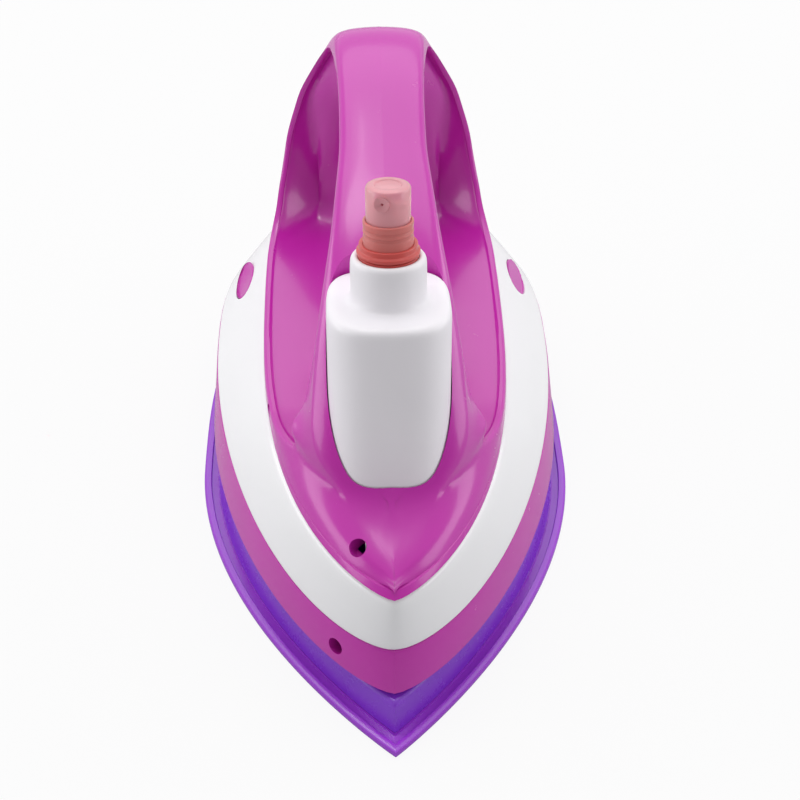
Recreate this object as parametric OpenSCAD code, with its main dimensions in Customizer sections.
// A toy iron with a working spray bottle in its nose.
// The nose points along -Y, +Z is up, and the sole rests on the plane z = 0.

/* [Sole] */
// Length of the sole plate from nose to heel
sole_l = 210; // [190:1:230]
// Width of the sole plate at its widest
sole_w = 120; // [108:1:132]
// Thickness of the flange round the sole plate
rim_t = 2.6; // [2:0.1:3.4]
// Width of the flange that stands out past the skirt
rim_lip = 3.2; // [2:0.1:4.5]
// Height of the skirt above the flange
skirt_h = 9.4; // [8:0.1:11]
// Depth of the groove between the flange and the skirt
groove_d = 0.9; // [0.5:0.1:1.2]

/* [Housing] */
// Height of the housing from the ground to the top of the handle
body_h = 125; // [115:1:135]
// Wall of the two half shells
wall = 2.2; // [1.8:0.1:2.8]
// Half the width of the handle
grip_half = 12.8; // [11:0.1:14.5]
// Radius of the long edges of the handle
grip_edge = 4; // [2.5:0.1:5]
// Radius of the edges round the hand opening
hole_edge = 2.6; // [1.5:0.1:3.5]

/* [Trim band] */
// Thickness of the white band
band_t = 2; // [1.6:0.1:2.4]
// Running clearance between the band and the shells
band_gap = 0.15; // [0.05:0.05:0.3]
// Lower edge of the band, as a share of the housing's height
band_low = 0.216; // [0.2:0.002:0.23]
// Upper edge of the band, as a share of the housing's height
band_high = 0.372; // [0.36:0.002:0.38]

/* [Spray bottle] */
// Lean of the bottle towards the handle, in degrees
lean = 15; // [12:1:18]
// Width of the bottle
bottle_w = 34.6; // [32:0.1:36]
// Depth of the bottle from front to back
bottle_d = 40; // [37:0.5:42]
// Height of the bottle up to its shoulder
bottle_h = 56; // [52:1:60]
// Fullness of the bottle's plan in front: 2 is an ellipse, more is boxier
bottle_front = 2.8; // [2.2:0.1:3.4]
// Fullness of the bottle's plan behind
bottle_back = 3.6; // [2.6:0.1:4.4]
// Wall of the bottle
bottle_wall = 1.2; // [0.9:0.1:1.6]
// Outer diameter of the bottle's neck
neck_d = 21; // [19:0.5:23]
// Height of the neck above the shoulder
neck_h = 13.2; // [12:0.1:16]
// Clearance round the bottle in its socket
socket_gap = 0.5; // [0.3:0.05:0.8]

/* [Pump] */
// Diameter of the red collar where it meets the neck
collar_d = 17.4; // [15:0.1:19]
// Diameter of the push button
button_d = 12.2; // [11:0.1:13]
// Height of the push button
button_h = 11.4; // [10:0.1:13]
// Travel of the push button
stroke = 4; // [3:0.5:5]

/* [Hidden] */
$fn = 48;
// Overrun of a cut past the face it opens
over = 1;
// Gap between faces of pieces that move against each other
face_gap = 0.3;
// Radial clearance of a running fit
fit = 0.06;

// Plan of the housing, level by level, as shares of the driving sizes: height of the level; nose,
// widest place and heel along the length; half width; fullness of the nose (two powers) and of the heel
level_shares = [
    [0.108, 0.0579, 0.590, 0.981, 0.942, 1.83, 0.71, 2.8],
    [0.216, 0.0836, 0.690, 0.979, 0.923, 1.96, 0.63, 2.9],
    [0.300, 0.0880, 0.690, 0.976, 0.782, 2.40, 0.69, 3.0],
    [0.372, 0.0918, 0.690, 0.974, 0.640, 2.98, 0.75, 3.2],
    [0.416, 0.1270, 0.640, 0.971, 0.636, 2.60, 0.70, 3.4],
    [0.462, 0.2150, 0.600, 0.970, 0.630, 2.10, 0.48, 3.6],
    [0.500, 0.2240, 0.590, 0.969, 0.630, 2.10, 0.46, 3.8],
    [0.640, 0.2400, 0.610, 0.964, 0.612, 2.10, 0.50, 4.0],
    [0.760, 0.2800, 0.667, 0.962, 0.515, 2.10, 0.50, 4.0],
    [0.864, 0.3300, 0.738, 0.960, 0.375, 2.10, 0.50, 3.6],
    [0.944, 0.4000, 0.786, 0.950, 0.270, 2.10, 0.50, 3.2],
    [1.000, 0.4500, 0.820, 0.925, 0.210, 2.10, 0.50, 3.0]];
function level(k, z) = lookup(z / body_h, [for (r = level_shares) [r[0], r[k]]]);
function nose_y(z) = (level(1, z) - 0.5) * sole_l;
function wide_y(z) = (level(2, z) - 0.5) * sole_l;
function heel_y(z) = (level(3, z) - 0.5) * sole_l;
function half_w(z) = level(4, z) * sole_w / 2;

// Half width of a plan outline at y: a pointed nose, then a full round heel
function plan_half(y, yn, yw, yr, hw, p, q, n) =
    y <= yn || y >= yr ? 0
    : y < yw ? hw * pow(1 - pow((yw - y) / (yw - yn), p), q)
    : hw * pow(1 - pow((y - yw) / (yr - yw), n), 1 / n);
// Half width of the housing at y on level z, drawn in at the nose, sides and heel
function body_half(y, z, dn = 0, dx = 0, dr = 0) =
    plan_half(y, nose_y(z) + dn, wide_y(z), heel_y(z) - dr, half_w(z) - dx,
        level(5, z), level(6, z), level(7, z));

// Places along an outline, closer together where it turns: nose to widest, then to the heel
front_n = 13;
rear_n = 9;
crowding = 1.5;
function front_place(i) = pow(i / front_n, crowding);
function rear_turn(i) = 90 * i / rear_n;
// Half outline, nose to heel, as [half width, y] pairs
function half_outline(yn, yw, yr, hw, p, q, n) = [
    for (i = [0:1:front_n]) let (s = front_place(i))
        [hw * pow(1 - pow(1 - s, p), q), yn + (yw - yn) * s],
    for (i = [1:1:rear_n]) let (a = rear_turn(i))
        [hw * pow(max(cos(a), 0), 2 / n), yw + (yr - yw) * pow(sin(a), 2 / n)]];
function body_outline(z, dn = 0, dx = 0, dr = 0) =
    half_outline(nose_y(z) + dn, wide_y(z), heel_y(z) - dr, half_w(z) - dx,
        level(5, z), level(6, z), level(7, z));
// Whole outline from its half, anticlockwise seen from above
function mirrored(half) = concat(half, [for (i = [len(half) - 2:-1:1]) [-half[i][0], half[i][1]]]);
function at_z(ring, z) = [for (p = ring) [p[0], p[1], z]];

// Solid through closed rings of equal length, anticlockwise seen from above and listed upwards
module skin(rings, loop = false, flip = false, paired = false) {
    n = len(rings[0]);
    m = len(rings);
    sides = [for (j = [0:1:(loop ? m - 1 : m - 2)], i = [0:1:n - 1])
        let (a = j * n + i, b = j * n + (i + 1) % n, up = ((j + 1) % m) * n, d = up + i, c = up + (i + 1) % n)
        each [[a, d, c], [a, c, b]]];
    top = (m - 1) * n;
    caps = loop ? []
        : paired ? [for (k = [0:1:n / 2 - 2]) let (a = k, b = k + 1, c = n - 2 - k, d = n - 1 - k)
            each [[a, b, c], [a, c, d], [top + c, top + b, top + a], [top + d, top + c, top + a]]]
        : [[for (i = [0:1:n - 1]) i], [for (i = [n - 1:-1:0]) top + i]];
    faces = concat(sides, caps);
    polyhedron(points = [for (r = rings) each r],
        faces = flip ? [for (f = faces) [for (k = [len(f) - 1:-1:0]) f[k]]] : faces);
}

// Heights where the lower housing changes: foot, band recess, lip above the band
band_z0 = band_low * body_h;
band_z1 = band_high * body_h;
foot_gap = 1.5;
foot_z = rim_t + skirt_h + foot_gap;
band_draft_share = 1.2;
band_in = band_t * band_draft_share;
// Depth along the length at the pointed nose for each unit of depth at the sides
nose_share = 1.5;
recess_in = band_in + band_gap * band_draft_share;
lip_h = 1.9;
band_mid = (band_z0 + band_z1) / 2;
lip_z = band_z1 + band_gap + lip_h;
// How far the rear end of the band lies from the nose, as a share of the length
band_end_share = 0.925;
band_end_y = (band_end_share - 0.5) * sole_l;
// Inward ledge on which the shells stand
foot_ledge = 4 * wall;
// Solid nose block that takes the front screws
nose_block = 0.16 * sole_l;

// Outline of the lower housing where the band's recess stops short of the heel
function recess_outline(z) = let (full = body_outline(z),
    cut = body_outline(z, recess_in * nose_share, recess_in))
    [for (i = [0:1:len(full) - 1]) full[i][1] < band_end_y ? cut[i] : full[i]];
// Wall ring of the lower housing on one level: outer half outline, then the inner one back
function wall_ring(outer, z, cut) = at_z(concat(outer,
    [for (i = [front_n + rear_n:-1:0]) body_outline(z, nose_block, wall + cut, wall)[i]]), z);
module lower_half() {
    skin([wall_ring(body_outline(foot_z), foot_z, foot_ledge),
        wall_ring(body_outline(foot_z + wall), foot_z + wall, foot_ledge),
        wall_ring(body_outline(foot_z + 1.4 * wall), foot_z + 1.4 * wall, 0),
        wall_ring(body_outline(band_z0 - band_gap), band_z0 - band_gap, 0),
        wall_ring(recess_outline(band_z0), band_z0, recess_in),
        wall_ring(recess_outline(band_mid), band_mid, recess_in),
        wall_ring(recess_outline(band_z1), band_z1, recess_in),
        wall_ring(body_outline(band_z1 + band_gap), band_z1 + band_gap, recess_in),
        wall_ring(body_outline(lip_z), lip_z, recess_in)], paired = true);
}

// The upper housing is one closed ring round the hand opening. Each row is a place on that ring, as
// shares of length and height: outer point, opening's edge on the flank, opening at the centre plane,
// how far it follows the slim grip, and whether it is solid
ring_shares = [
    [0.1060, 0.388, 0.336, 0.452, 0.433, 0.452, 0, 1], [0.1270, 0.416, 0.329, 0.468, 0.437, 0.468, 0, 1],
    [0.2150, 0.466, 0.338, 0.496, 0.442, 0.496, 0, 1], [0.3020, 0.608, 0.374, 0.536, 0.455, 0.536, 1, 1],
    [0.3976, 0.740, 0.436, 0.630, 0.467, 0.620, 1, 1], [0.5167, 0.852, 0.524, 0.790, 0.531, 0.728, 1, 0],
    [0.6450, 0.922, 0.645, 0.868, 0.645, 0.796, 1, 0], [0.7786, 0.980, 0.776, 0.928, 0.760, 0.836, 0.9, 0],
    [0.8930, 0.978, 0.885, 0.926, 0.836, 0.816, 0.1, 0], [0.9440, 0.862, 0.912, 0.800, 0.869, 0.736, 0, 0],
    [0.9620, 0.640, 0.905, 0.625, 0.871, 0.600, 0, 0], [0.9700, 0.470, 0.866, 0.500, 0.853, 0.500, 0, 0],
    [0.9600, 0.345, 0.815, 0.438, 0.815, 0.438, 0, 0], [0.8500, 0.336, 0.740, 0.415, 0.740, 0.415, 0, 0],
    [0.6700, 0.336, 0.620, 0.412, 0.620, 0.412, 0, 0], [0.4930, 0.336, 0.493, 0.412, 0.493, 0.412, 0, 0],
    [0.2786, 0.320, 0.398, 0.420, 0.436, 0.420, 0, 1]];
ring_steps = 2;
// Smooth closed curve through the rows
function smooth(a, b, c, d, t) = b + (c - a) * t / 2
    + (2 * a - 5 * b + 4 * c - d) * t * t / 2 + (3 * b - a - 3 * c + d) * t * t * t / 2;
ring_rows = [for (k = [0:1:len(ring_shares) - 1], j = [0:1:ring_steps - 1])
    let (n = len(ring_shares))
    smooth(ring_shares[(k + n - 1) % n], ring_shares[k], ring_shares[(k + 1) % n],
        ring_shares[(k + 2) % n], j / ring_steps)];
function ring_y(share) = (share - 0.5) * sole_l;

// Half width of the slim grip and of the cowl beside the bottle
cowl_half = bottle_w / 2 + socket_gap + wall;
function grip_w(y) = lookup(y / sole_l, [[-0.2, cowl_half], [-0.12, cowl_half * 0.98],
    [-0.06, cowl_half * 0.92], [0.03, grip_half * 1.2], [0.15, grip_half], [0.5, grip_half]]);
// How much wider the cowl is at the opening's edge than at its top
function cowl_flare(y) = cowl_half * lookup(y / sole_l, [[-0.18, 0.32], [-0.12, 0.2], [-0.06, 0.06], [0, 0]]);
// Half width of the upper housing: level plan mixed with the grip
function upper_w(y, z, grip, top = 1) = let (g = min(max(grip, 0), 1))
    (1 - g) * body_half(y, z) + g * (grip_w(y) + cowl_flare(y) * (1 - top));
lip_sink = 0.25;
function upper_sink(z) = z < band_z1 + band_gap ? recess_in + lip_sink * 3 : z < lip_z ? lip_sink : 0;

flank_shares = [0, 0.15, 0.32, 0.5, 0.68, 0.84, 0.94, 1];
core_half = cowl_half + face_gap;
crown = 1.2;
crown_shares = [[0.72, 0.5], [0.38, 0.14], [0, 0]];
// How much of a rounded edge's radius its middle lies inside the corner
corner_share = 0.29;
// Most of a row that one rounded edge can take
edge_share = 0.3;
// How far the opening's wall has come from the centre plane to the flank, point by point: square
// beside the bottle, and hollowed like a half pipe further back
square_shares = [0, 0, 0.12, 0.9, 1];
cove_shares = [0, 0.16, 0.28, 0.66, 1];
// Across the opening's wall from the centre plane, then round its edge
function opening_part(iy, iz, cy, cz, w0, re, dy, dz) = let (
    cove = lookup(iy / sole_l, [[-0.06, 0], [0.02, 1]]),
    places = [0, min(core_half, w0 * 0.6) * 0.9, min(core_half, w0 * 0.66),
        min(core_half * 1.02, w0 - re * 1.2), w0 - re])
    concat([for (k = [0:1:len(places) - 1])
        let (s = square_shares[k] + (cove_shares[k] - square_shares[k]) * cove)
        [places[k], cy + (iy - cy) * s, cz + (iz - cz) * s]],
        [[w0 - re * corner_share, iy + dy * re * corner_share, iz + dz * re * corner_share]]);
// Down the flank, then round the long edge of the handle, from depth d0 to d1
function flank_part(iy, iz, g, re, rt, long, dy, dz) = let (reach = long - re - rt - crown) concat(
    [for (f = flank_shares) let (d = re + reach * f, y = iy + dy * d, z = iz + dz * d)
        [max(upper_w(y, z, g, d / long) - upper_sink(z), 0), y, z]],
    [for (a = [45, 90]) let (d = long - crown - rt * (1 - sin(a)), y = iy + dy * d, z = iz + dz * d,
        w = upper_w(y, z, g) - upper_sink(z))
        [max(w - min(rt, w * 0.4) * (1 - cos(a)), 0), y, z]]);
// Over the crown to the centre plane
function crown_part(oy, oz, g, dy, dz) = [for (c = crown_shares) let (d = crown * c[1])
    [max(upper_w(oy, oz, g) - upper_sink(oz), 0) * c[0], oy - dy * d, oz - dz * d]];
// Outer half section at one row of the ring
function outer_section(row) = let (
    oy = ring_y(row[0]), oz = row[1] * body_h, iy = ring_y(row[2]), iz = row[3] * body_h,
    g = row[6], long = norm([oy - iy, oz - iz]), dy = (oy - iy) / long, dz = (oz - iz) / long,
    w0 = max(upper_w(iy, iz, g, 0), grip_half * 0.8),
    re = min(hole_edge, long * edge_share), rt = min(grip_edge, long * edge_share))
    concat(opening_part(iy, iz, ring_y(row[4]), row[5] * body_h, w0, re, dy, dz),
        flank_part(iy, iz, g, re, rt, long, dy, dz), crown_part(oy, oz, g, dy, dz));
solid_from = 0.02;
// Inner half section, a wall's thickness inside, and shut where the row is solid
function inner_section(row) = let (
    oy = ring_y(row[0]), oz = row[1] * body_h, iy = ring_y(row[2]), iz = row[3] * body_h,
    long = norm([oy - iy, oz - iz]), thick = min(wall, long * edge_share),
    dy = (oy - iy) / long, dz = (oz - iz) / long)
    row[7] > solid_from
    ? let (n = len(outer_section(row)) - 1)
        [for (k = [0:1:n]) let (e = long * (0.25 + 0.5 * k / n)) [0, iy + e * dy, iz + e * dz]]
    : [for (p = outer_section(row))
        let (d = (p[1] - iy) * dy + (p[2] - iz) * dz, e = thick + d * (d < 0 ? 1 : (long - 2 * thick) / long))
        [max(p[0] - wall, 0), iy + e * dy, iz + e * dz]];
// Room for the band, where the ring's flank would otherwise reach behind it
module band_room() {
    room = band_in + band_gap / 2;
    difference() {
        translate([-sole_l, -sole_l, band_z0]) cube([2 * sole_l, 2 * sole_l, band_z1 + band_gap / 2 - band_z0]);
        skin([for (z = [band_z0 - over, band_mid, band_z1, band_z1 + over])
            at_z(mirrored(body_outline(z, room * nose_share, room)), z)]);
    }
}
module upper_half() {
    difference() {
        ring_solid();
        band_room();
    }
}
module ring_solid() {
    skin([for (row = ring_rows) concat(outer_section(row),
        [for (k = [len(outer_section(row)) - 1:-1:0]) inner_section(row)[k]])], loop = true, flip = true);
}

// Place and lean of the bottle: the centre of its shoulder
bottle_y_share = 0.384;
bottle_z_share = 0.8216;
module at_bottle() {
    translate([0, (bottle_y_share - 0.5) * sole_l, bottle_z_share * body_h])
        rotate([-lean, 0, 0]) children();
}
// One point of the bottle's plan, grown or shrunk on every side
plan_n = 40;
function bottle_point(k, grow) = let (c = cos(360 * k / plan_n), s = sin(360 * k / plan_n),
    n = s < 0 ? bottle_front : bottle_back)
    [sign(c) * (bottle_w / 2 + grow) * pow(abs(c), 2 / n), sign(s) * (bottle_d / 2 + grow) * pow(abs(s), 2 / n)];
module bottle_plan(grow = 0) {
    polygon([for (k = [0:1:plan_n - 1]) bottle_point(k, grow)]);
}
// Way in and out for the bottle, open above the housing
socket_rise = body_h;
module bottle_socket() {
    at_bottle() translate([0, 0, -bottle_h - face_gap])
        linear_extrude(bottle_h + socket_rise) bottle_plan(socket_gap);
}

// Screws that join the shells: length and height as shares
screw_shares = [[0.119, 0.165], [0.172, 0.408], [0.434, 0.388], [0.935, 0.705], [0.870, 0.190]];
access_d = 5.2;
screw_d = 2.6;
pilot_d = 2.2;
head_x = 6;
screw_l = 15;
function screw_y(k) = (screw_shares[k][0] - 0.5) * sole_l;
function screw_z(k) = screw_shares[k][1] * body_h;
// Screws that need a boss of their own, because the shell is hollow there
boss_rows = [3, 4];
boss_d = access_d + wall;
function boss_reach(k) = min([for (s = [-1, 1])
    body_half(screw_y(k) + s * boss_d / 2, screw_z(k) + boss_d / 2)]) - wall / 2;
// Pad under the deck round the screw behind the socket
deck_z = 0.336 * body_h;
module deck_pad() {
    translate([0, screw_y(2) - boss_d / 2, deck_z])
        cube([body_half(screw_y(2), lip_z) - recess_in - wall, boss_d, screw_z(2) - deck_z + wall / 2]);
}
module across(k) {
    translate([0, screw_y(k), screw_z(k)]) rotate([0, 90, 0]) children();
}

// Half the parting gap between the two half shells
seam = 0.05;
module half_shell() {
    difference() {
        union() {
            lower_half();
            upper_half();
            for (k = boss_rows) across(k) cylinder(h = boss_reach(k), d = boss_d);
            deck_pad();
            for (p = sole_screw_places) if (p[0] > 0) translate([p[0], p[1], foot_z])
                cylinder(h = deck_z + wall / 2 - foot_z, d = post_d);
            at_oval(1) oval(0, band_in + wall, band_gap);
        }
        translate([seam - sole_l, -sole_l, -over]) cube([sole_l, 2 * sole_l, 2 * body_h]);
        bottle_socket();
        for (p = sole_screw_places) if (p[0] > 0) translate([p[0], p[1], foot_z - over])
            cylinder(h = sole_screw_l - foot_z + 2 * over, d = pilot_d);
        children();
    }
}
module boss_side_shell() {
    color("orchid") half_shell()
        for (k = [0:1:len(screw_shares) - 1]) across(k)
            translate([0, 0, -over]) cylinder(h = screw_l - head_x + over + face_gap, d = pilot_d);
}
module screw_side_shell() {
    color("orchid") mirror([1, 0, 0]) half_shell()
        for (k = [0:1:len(screw_shares) - 1]) across(k) {
            translate([0, 0, -over]) cylinder(h = head_x + 2 * over, d = screw_d + 2 * fit);
            translate([0, 0, head_x]) cylinder(h = sole_w, d = access_d);
        }
}

// One-piece trim band: a section carried round the nose from one rear end to the other
band_lip = 0.7;
band_levels = [band_z0, band_z0 + band_lip, band_mid, band_z1 - band_lip * 2, band_z1];
function band_row(i, side) = let (
    outer = [for (z = band_levels) [body_outline(z)[i], z]],
    inner = [for (z = [band_z1, band_mid, band_z0])
        [body_outline(z, band_in * nose_share, band_in)[i], z]])
    [for (p = concat(outer, inner)) [side * p[0][0], p[0][1], p[1]]];
function band_last() = max([for (i = [0:1:front_n + rear_n])
    if (body_outline(band_z0)[i][1] < band_end_y - band_gap * 2) i]);
oval_y_share = 0.79;
oval_l = 17;
oval_h = 9.5;
// Places on the band where a snap oval of each shell shows through
module at_oval(side) {
    y = (oval_y_share - 0.5) * sole_l;
    rise = band_z1 - band_z0;
    run = body_half(y, band_z0) - body_half(y, band_z1);
    translate([side * (body_half(y, band_z0) - run / 2), y, band_z0 + rise / 2])
        rotate([0, 0, side > 0 ? 0 : 180]) rotate([0, 90 - atan2(run, rise), 0]) children();
}
// Oval plug or window of the given growth and depth below the band's face
module oval(grow, depth, height) {
    translate([0, 0, -depth]) linear_extrude(depth + height)
        polygon([for (a = [0:18:342]) [(oval_h / 2 + grow) * cos(a), (oval_l / 2 + grow) * sin(a)]]);
}
module white_band() {
    color("white") difference() {
        skin([for (i = [band_last():-1:1]) band_row(i, -1), for (i = [0:1:band_last()]) band_row(i, 1)]);
        for (side = [-1, 1]) at_oval(side) oval(band_gap, band_t * 3, band_t * 3);
    }
}

// Full plan of the sole at a margin inside the flange's edge
sole_nose_share = 1.35;
sole_wide_share = 0.03;
sole_fullness = [1.95, 0.96, 2.8];
function sole_outline(margin) = mirrored(half_outline(-sole_l / 2 + margin * sole_nose_share,
    sole_wide_share * sole_l, sole_l / 2 - margin, sole_w / 2 - margin,
    sole_fullness[0], sole_fullness[1], sole_fullness[2]));
sole_edge = 0.8;
groove_w = 1.6;
skirt_lip = 0.8;
head_d = 5.2;
head_h = 1.6;
sole_screw_shares = [[-0.2, 0.3], [0.2, 0.3], [-0.24, -0.01], [0.24, -0.01]];
sole_screw_l = 24;
sole_screw_places = [for (p = sole_screw_shares) [p[0] * sole_w, p[1] * sole_l]];
module at_sole_screws(z) {
    for (p = sole_screw_places) translate([p[0], p[1], z]) children();
}
module sole_plate() {
    color("mediumorchid") difference() {
        skin([at_z(sole_outline(sole_edge), 0), at_z(sole_outline(0), sole_edge),
            at_z(sole_outline(0), rim_t - sole_edge / 2), at_z(sole_outline(sole_edge), rim_t)]);
        difference() {
            translate([0, 0, rim_t - groove_d]) linear_extrude(groove_d + over)
                polygon(sole_outline(rim_lip - skirt_lip));
            linear_extrude(rim_t) polygon(sole_outline(rim_lip + groove_w));
        }
        at_sole_screws(-over) cylinder(h = rim_t + 2 * over, d = screw_d + 2 * fit);
        at_sole_screws(-over) cylinder(h = over + head_h, d = head_d + 2 * fit);
    }
}
// Stepped skirt: a steep side, a rounded shoulder, then the seat that carries the shells
skirt_draft = 3;
seat_in = 8;
post_d = 7;
skirt_in = rim_lip + groove_w;
skirt_top = rim_t + skirt_h;
// Outer rings of the skirt: share of the draft, share of the height, then extra margin and drop in edges
skirt_rings = [[0, 0, 0, 0], [0.55, 0.6, 0, 0], [0.75, 1, 0, 1.2], [1, 1, 0, 0.25], [1, 1, 1, 0]];
module sole_skirt() {
    color("blueviolet") difference() {
        union() {
            skin([for (r = skirt_rings) at_z(sole_outline(skirt_in + skirt_draft * r[0] + sole_edge * r[2]),
                rim_t + skirt_h * r[1] - sole_edge * r[3])]);
            translate([0, 0, skirt_top - over]) linear_extrude(over + foot_gap)
                polygon(sole_outline(skirt_in + seat_in));
        }
        translate([0, 0, rim_t - over]) linear_extrude(over + skirt_h - wall)
            polygon(sole_outline(skirt_in + skirt_draft + wall * 1.5));
        at_sole_screws(rim_t) cylinder(h = skirt_h + 2 * over, d = screw_d + 2 * fit);
    }
    color("blueviolet") at_sole_screws(rim_t) difference() {
        cylinder(h = skirt_h - wall / 2, d = post_d);
        translate([0, 0, -over]) cylinder(h = skirt_h + over, d = screw_d + 2 * fit);
    }
}

// Pan-head screw along +Z: its head's seat is at z = 0
module screw(length, head, head_height) {
    translate([0, 0, -head_height]) cylinder(h = head_height, d = head);
    cylinder(h = length, d = pilot_d - 2 * fit);
}
module shell_screws() {
    color("silver") mirror([1, 0, 0]) for (k = [0:1:len(screw_shares) - 1]) across(k)
        translate([0, 0, head_x]) rotate([180, 0, 0]) screw(screw_l, head_d, head_h);
}
module sole_screws() {
    color("silver") at_sole_screws(head_h) screw(sole_screw_l - head_h, head_d, head_h - sole_edge / 4);
}

// Plan of the bottle as a ring of points
function bottle_ring(grow, z) = [for (k = [0:1:plan_n - 1]) let (p = bottle_point(k, grow)) [p[0], p[1], z]];
// Closed bottle body with a rounded foot and shoulder
module bottle_body(grow, foot_r, top_r) {
    turns = [0, 30, 60, 90];
    skin(concat(
        [for (a = turns) bottle_ring(grow - foot_r * (1 - sin(a)), -bottle_h - grow + foot_r * (1 - cos(a)))],
        [for (a = turns) bottle_ring(grow - top_r * (1 - cos(a)), grow - top_r * (1 - sin(a)))]));
}
bottle_foot_r = 4.5;
shoulder_r = 2.4;
neck_wall = 2.1;
neck_bore = neck_d - 2 * neck_wall;
neck_edge = 1.2;
seat_bore = 13.6;
plug_h = 7;
flange_h = 1.2;
gasket_h = 1;
seat_z = neck_h - plug_h - flange_h - gasket_h - 2 * face_gap;
module spray_bottle() {
    color("whitesmoke") at_bottle() difference() {
        union() {
            bottle_body(0, bottle_foot_r, shoulder_r);
            rotate_extrude() polygon(concat([[0, -shoulder_r], [neck_d / 2 + neck_edge, -shoulder_r],
                [neck_d / 2 + neck_edge, 0]],
                [for (a = [0:30:90]) [neck_d / 2 + neck_edge * (1 - sin(a)), neck_edge * (1 - cos(a))]],
                [for (a = [0:30:90]) [neck_d / 2 - neck_edge * (1 - cos(a)),
                    neck_h - neck_edge * (1 - sin(a))]],
                [[0, neck_h]]));
        }
        bottle_body(-bottle_wall, bottle_foot_r - bottle_wall, shoulder_r / 2);
        translate([0, 0, -bottle_wall - over]) cylinder(h = neck_h + bottle_wall + 2 * over, d = seat_bore);
        translate([0, 0, seat_z]) cylinder(h = neck_h, d = neck_bore);
    }
}

// Pump: heights are measured in the bottle's own frame, up from its shoulder
collar_h = 3.3;
collar_top_share = 0.92;
turret_d = 13.8;
// The sleeve guides the button through its travel
turret_share = 2.6;
turret_top = neck_h + turret_share * stroke;
turret_bore = button_d + 4 * fit;
chamber_d = 11.6;
chamber_bore = 9;
chamber_drop = 1.5;
chamber_h = 21;
chamber_top = neck_h - chamber_drop;
chamber_floor = chamber_top - chamber_h;
stem_d = 4.4;
stem_bore = 1.8;
guide_drop = 1;
guide_z = neck_h - guide_drop;
guide_h = 1.4;
button_sink = 1.6;
button_z = turret_top - button_sink;
module ring(inner, outer, z0, z1) {
    translate([0, 0, z0]) difference() {
        cylinder(h = z1 - z0, d = outer);
        translate([0, 0, -over]) cylinder(h = z1 - z0 + 2 * over, d = inner);
    }
}
module screw_collar() {
    inner = turret_d + 2 * fit;
    z0 = neck_h + face_gap;
    r = collar_d / 2;
    top_r = collar_top_share * r;
    color("indianred") at_bottle() rotate_extrude() polygon([
        [inner / 2, neck_h - plug_h], [neck_bore / 2 - fit, neck_h - plug_h], [neck_bore / 2 - fit, z0],
        [0.88 * r, z0], [r, z0 + 0.15 * collar_h], [r, z0 + 0.4 * collar_h],
        [top_r, z0 + 0.55 * collar_h], [top_r, z0 + collar_h], [inner / 2, z0 + collar_h]]);
}
module turret_sleeve() {
    flange_z = neck_h - plug_h - flange_h - face_gap;
    step = turret_top - neck_h - collar_h;
    groove = turret_d / 2 - 6 * fit;
    flange = neck_bore / 2 - 3 * fit;
    color("lightcoral") at_bottle() {
        rotate_extrude() polygon([[turret_bore / 2, flange_z], [flange, flange_z],
            [flange, flange_z + flange_h], [turret_d / 2, flange_z + flange_h],
            [turret_d / 2, turret_top - 0.62 * step],
            [groove, turret_top - 0.56 * step], [groove, turret_top - 0.4 * step],
            [turret_d / 2, turret_top - 0.34 * step], [turret_d / 2, turret_top - 0.06 * step],
            [groove, turret_top], [turret_bore / 2, turret_top]]);
        ring(stem_d + 2 * fit, turret_bore + over / 2, guide_z, guide_z + guide_h);
    }
}
module neck_gasket() {
    z0 = seat_z + face_gap;
    color("dimgray") at_bottle() ring(chamber_d + 2 * fit, neck_bore - 6 * fit, z0, z0 + gasket_h);
}
spigot_d = 5.4;
spigot_h = 6;
tube_d = 3;
tube_bore = 1.8;
ball_d = 3.2;
seat_d = 2.2;
floor_h = 2;
module pump_chamber() {
    color("mistyrose") at_bottle() difference() {
        union() {
            translate([0, 0, chamber_floor - floor_h]) cylinder(h = chamber_h + floor_h, d = chamber_d);
            translate([0, 0, chamber_floor - floor_h - spigot_h]) cylinder(h = spigot_h + over, d = spigot_d);
        }
        translate([0, 0, chamber_floor]) cylinder(h = chamber_h + over, d = chamber_bore);
        translate([0, 0, chamber_floor - floor_h - over]) cylinder(h = floor_h + 2 * over, d = seat_d);
        translate([0, 0, chamber_floor - floor_h - spigot_h - over]) cylinder(h = spigot_h, d = tube_d);
    }
}
ball_rise = sqrt(ball_d * ball_d - seat_d * seat_d) / 2;
module inlet_ball() {
    color("silver") at_bottle() translate([0, 0, chamber_floor + ball_rise]) sphere(d = ball_d);
}
tube_lift = 2;
module dip_tube() {
    color("white") at_bottle() ring(tube_bore, tube_d, tube_lift + bottle_wall - bottle_h,
        chamber_floor - floor_h - over - fit);
}
piston_h = 4;
piston_drop = 9.5;
piston_z = neck_h - piston_drop;
module pump_piston() {
    color("white") at_bottle() difference() {
        union() {
            translate([0, 0, piston_z]) cylinder(h = piston_h, d = chamber_bore - 2 * fit - face_gap);
            for (z = [piston_z, piston_z + piston_h - 0.2 * piston_h])
                translate([0, 0, z]) cylinder(h = 0.2 * piston_h, d = chamber_bore - 2 * fit);
        }
        translate([0, 0, piston_z + 0.3 * piston_h]) cylinder(h = piston_h, d = stem_d);
        translate([0, 0, piston_z - over]) cylinder(h = piston_h, d = stem_bore);
    }
}
stem_in = 6.5;
stem_top = button_z + stem_in;
module pump_stem() {
    color("gainsboro") at_bottle() ring(stem_bore, stem_d, piston_z + 0.3 * piston_h, stem_top);
}
nozzle_d = 4.4;
nozzle_turn = 18;
nozzle_depth = 2.6;
nozzle_drop = 3.5;
socket_d = stem_d + 2 * fit;
module at_nozzle() {
    translate([0, 0, button_top - nozzle_drop]) rotate([0, 0, -nozzle_turn]) rotate([90, 0, 0]) children();
}
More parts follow.
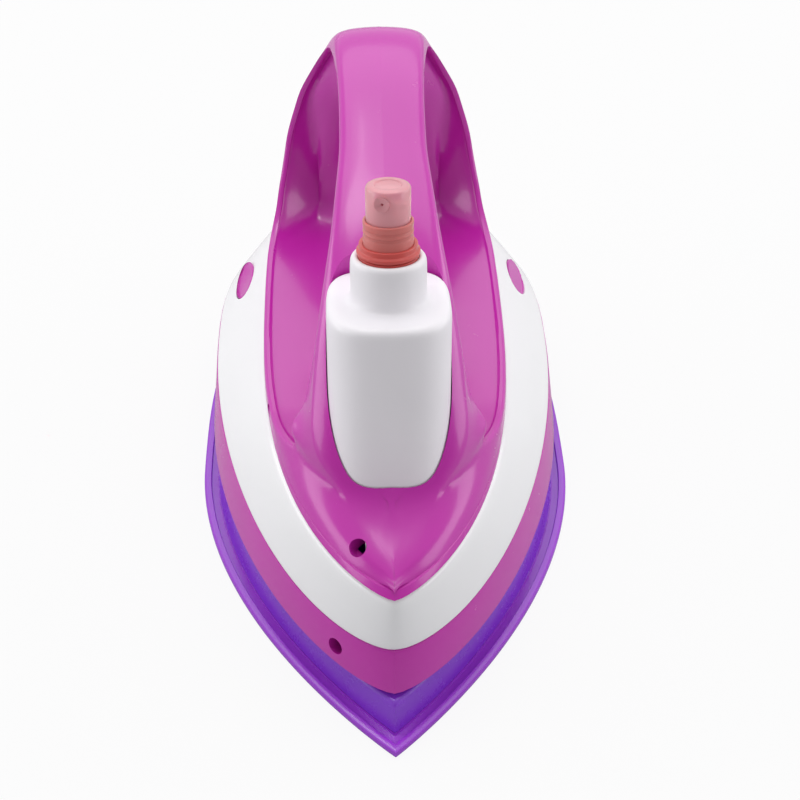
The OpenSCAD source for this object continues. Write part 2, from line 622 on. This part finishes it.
// Wall of the button's skirt, and of the boss that holds the stem
button_wall = 1;
boss_wall = 1.1;
button_edge = 0.08 * button_d;
button_top = button_z + button_h;
module pump_button() {
    e = button_edge;
    r = button_d / 2;
    color("lightpink") at_bottle() difference() {
        rotate_extrude() polygon([[0, button_z], [r, button_z], [r, button_top - e],
            [r - 0.3 * e, button_top - 0.3 * e], [r - e, button_top], [0.62 * r, button_top],
            [0.56 * r, button_top - 0.5 * e], [0, button_top - 0.5 * e]]);
        ring(socket_d + 2 * boss_wall, button_d - 2 * button_wall, button_z - over, button_z + 0.46 * button_h);
        translate([0, 0, button_z - over]) cylinder(h = stem_in + over + face_gap, d = socket_d);
        translate([0, 0, stem_top - over])
            cylinder(h = button_top - nozzle_drop - stem_top + over + 0.5 * stem_bore, d = stem_bore);
        at_nozzle() translate([0, 0, r - nozzle_depth]) cylinder(h = button_d, d = nozzle_d);
        at_nozzle() cylinder(h = r, d = 0.8 * stem_bore);
    }
}
// Depth and how far the nozzle stands out of the button, and its dished mouth
nozzle_proud = 0.2;
mouth_depth = 0.3;
module nozzle_insert() {
    back = button_d / 2 - nozzle_depth;
    color("salmon") at_bottle() at_nozzle() difference() {
        translate([0, 0, back]) cylinder(h = nozzle_depth + nozzle_proud, d = nozzle_d - 2 * fit);
        translate([0, 0, back - over]) cylinder(h = nozzle_depth + 2 * over, d = 0.16 * nozzle_d);
        translate([0, 0, button_d / 2 - mouth_depth])
            cylinder(h = over, d1 = 0.3 * nozzle_d, d2 = 0.9 * nozzle_d);
    }
}
// Open coil spring under the piston: one tube with closed ends
spring_d = 7;
wire_d = 0.8;
coils = 6;
coil_steps = 12;
wire_sides = 6;
spring_low = chamber_floor + wire_d / 2 + fit;
spring_high = piston_z - wire_d / 2 - fit;
module pump_spring() {
    n = coils * coil_steps;
    rise = spring_high - spring_low;
    color("silver") at_bottle() skin([for (j = [0:1:n])
        let (a = 360 * j / coil_steps, z = spring_low + rise * j / n)
        [for (k = [0:1:wire_sides - 1]) let (b = 360 * k / wire_sides, r = spring_d / 2 + wire_d / 2 * cos(b))
            [r * cos(a), r * sin(a), z + wire_d / 2 * sin(b)]]], flip = true);
}

screw_side_shell();
boss_side_shell();
white_band();
sole_plate();
sole_skirt();
shell_screws();
sole_screws();
spray_bottle();
screw_collar();
turret_sleeve();
neck_gasket();
pump_chamber();
inlet_ball();
dip_tube();
pump_spring();
pump_piston();
pump_stem();
pump_button();
nozzle_insert();
